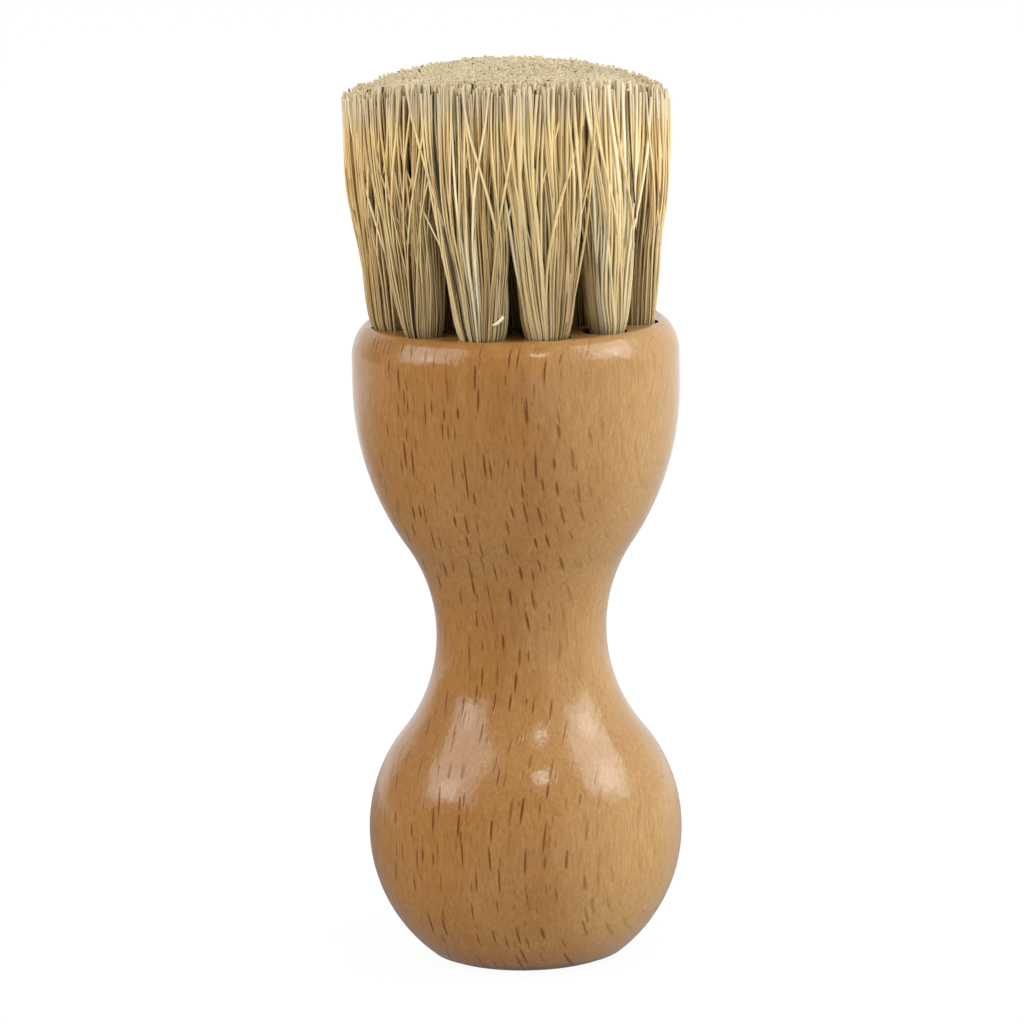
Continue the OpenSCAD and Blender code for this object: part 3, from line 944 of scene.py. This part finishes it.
def makeBristles(spec, drills):
    tree = None
    tufts = []
    for ring in drills["rings"]:
        innerEdge, outerEdge = spec["edges"][ring["name"]]
        for number in range(ring["count"]):
            name = f"tuft_{ring['name']}_{number + 1:02d}"
            own = {**spec, **spec["uneven"].get(name, {})}
            sizes = {
                "seed": len(tufts) + 1,
                "turn": math.radians(ring["first"] - 90 + 360 / ring["count"] * number),
                "halfTurn": math.pi / ring["count"],
                "ringRadius": ring["radius"],
                "lean": math.radians(ring["lean"]),
                "innerEdge": innerEdge,
                "outerEdge": outerEdge,
                "faceHeight": handleSpec["height"],
                **{key: own[key] for key in bristleInputs},
            }
            if tree is None:
                tree = buildBristleTree(spec, sizes)
            tuft = growMesh("hair_" + name, bpy.data.meshes.new(name), tree, {**sizes, "Material": hair})
            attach(tuft, "root")
            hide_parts(name)
            tufts.append(tuft)
    return tufts


tufts = makeBristles(bristleSpec, drillSpec)
print("bristles grown:", sum(len(t.data.polygons) for t in tufts), "faces in", len(tufts), "tufts")


# the flat steel wires that hold the bundles down stay as the frame has them

wireSpec = {
    "drawn": {"scale": 1500.0, "stretch": (1.0, 1.0, 6.0), "detail": 3.0},
    "dark": (0.32, 0.31, 0.29),
    "light": (0.50, 0.49, 0.46),
    "roughness": (0.25, 0.25),
}


def makeWire(spec):
    material, tree, shader = startMaterial("anchorSteel")
    drawn = patternOn(tree, placeOn(tree, "Object"), **spec["drawn"])
    feed(tree, shader.inputs["Base Color"], mixColour(tree, drawn, spec["dark"], spec["light"]))
    feed(tree, shader.inputs["Roughness"], graded(tree, drawn, *spec["roughness"]))
    shader.inputs["Metallic"].default_value = 1.0
    return material


wire = makeWire(wireSpec)
for name in ("anchors_outer", "anchors_middle", "anchors_inner"):
    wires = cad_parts[name]
    wires.data.materials.clear()
    wires.data.materials.append(wire)
print("anchors dressed")


# white floor and world, and the lamps

studioSpec = {
    "world": (0.52, 0.88),   # the fill light from the left and from the right
    "room": (0.15, 0.85),    # how bright the room beside the brush is in a reflection, left and right
    "roomAcross": (0.15, 0.9),
    "roomBehind": (0.54, 0.76),
    "floor": {
        "half": 3,
        "level": -0.02,      # a hair's breadth under the foot, so that the two faces don't lie in one plane
        "grey": 0.82,
        "roughness": 0.9,
        "shows": 0.93,       # how much of the floor's white hides its shading from the camera
        "white": 1.02,
        "across": (-0.1, 0.2),
        "behind": (0.02, 0.3),
    },
    "lampsAway": 1.1,
}

leftAlong, rightAlong = (0.433, -0.865, 0.253), (0.396, 0.857, -0.331)

lampSpec = {
    "leftBox": {"toward": (-0.748, -0.238, 0.620), "along": leftAlong, "size": (0.82, 0.75), "glow": 3.75},
    "rightBox": {"toward": (0.789, -0.109, 0.605), "along": rightAlong, "size": (0.74, 0.76), "glow": 4.1},
    "leftCore": {"toward": (-0.823, -0.306, 0.478), "along": leftAlong, "size": (0.34, 0.30), "glow": 2.6},
    "rightCore": {"toward": (0.835, -0.160, 0.526), "along": rightAlong, "size": (0.34, 0.34), "glow": 3.0},
    "topLamp": {"toward": (0.242, -0.634, 0.735), "along": (1, 0, 0), "size": (0.16, 0.16), "glow": 12.0},
}


def raysOf(tree):    # whether a ray is a reflection, and whether it comes straight from the camera
    path = addNode(tree, "ShaderNodeLightPath").outputs
    return path["Is Glossy Ray"], calc(tree, "MAXIMUM", path["Is Camera Ray"], path["Is Transmission Ray"])


# the backdrop stands behind the brush, so a reflection of the room in front of it is dimmer

def reflected(tree, place, behindLimits, acrossLimits, room):
    toRight, behind, _ = toXyz(tree, place)
    return ease(tree, behind, *behindLimits, ease(tree, toRight, *acrossLimits, *room), 1.0)


def makeWorld(spec):
    world = bpy.data.worlds.new("paleStudio")
    bpy.context.scene.world = world
    world.use_nodes = True
    tree = world.node_tree
    background = tree.nodes["Background"]
    background.inputs["Color"].default_value = (1, 1, 1, 1)
    place = placeOn(tree, "Generated")
    fill = ease(tree, toXyz(tree, place)[0], -1.0, 1.0, *spec["world"])
    mirrored = reflected(tree, place, spec["roomBehind"], spec["roomAcross"], spec["room"])
    glossy, direct = raysOf(tree)
    light = blend(tree, glossy, fill, mirrored)
    feed(tree, background.inputs["Strength"], calc(tree, "MAXIMUM", light, direct))


def makeFloor(spec, room):
    mesh = bpy.data.meshes.new("floor")
    half, level = spec["half"], spec["level"] * mm
    corners = [(-half, -half, level), (half, -half, level), (half, half, level), (-half, half, level)]
    mesh.from_pydata(corners, [], [(0, 1, 2, 3)])
    floor = bpy.data.objects.new("floor", mesh)
    bpy.context.scene.collection.objects.link(floor)
    material, tree, shader = startMaterial("paleFloor")
    grey = spec["grey"]
    shader.inputs["Base Color"].default_value = (grey, grey, grey, 1)
    shader.inputs["Roughness"].default_value = spec["roughness"]
    glossy, direct = raysOf(tree)
    mirrored = reflected(tree, placeOn(tree, "Object"), spec["behind"], spec["across"], room)
    white = blend(tree, glossy, spec["white"], mirrored)
    glow = fromNode(tree, "ShaderNodeEmission", {"Color": (1, 1, 1, 1), "Strength": white})
    share = calc(tree, "MAXIMUM", times(tree, direct, spec["shows"]), glossy)
    surface = fromNode(tree, "ShaderNodeMixShader", {0: share, 1: shader.outputs[0], 2: glow})
    tree.links.new(surface, tree.nodes["Material Output"].inputs["Surface"])
    mesh.materials.append(material)


def makeLamps(lamps, away):
    middle = (cadLow + cadHigh) / 2
    for name, lamp in lamps.items():
        data = bpy.data.lights.new(name, "AREA")
        data.shape = "ELLIPSE" if name.endswith("Core") else "RECTANGLE"
        data.size, data.size_y = lamp["size"]
        data.energy = lamp["glow"] * math.pi * data.size * data.size_y
        light = bpy.data.objects.new(name, data)
        toward = Vector(lamp["toward"]).normalized()
        along = Vector(lamp["along"])
        along = (along - toward * along.dot(toward)).normalized()
        turned = Matrix((along, toward.cross(along), toward)).transposed()
        light.matrix_world = Matrix.Translation(middle + toward * away) @ turned.to_4x4()
        bpy.context.scene.collection.objects.link(light)


makeWorld(studioSpec)
makeFloor(studioSpec["floor"], studioSpec["room"])
makeLamps(lampSpec, studioSpec["lampsAway"])
bpy.context.scene.view_settings.view_transform = "Standard"
print("studio lit")
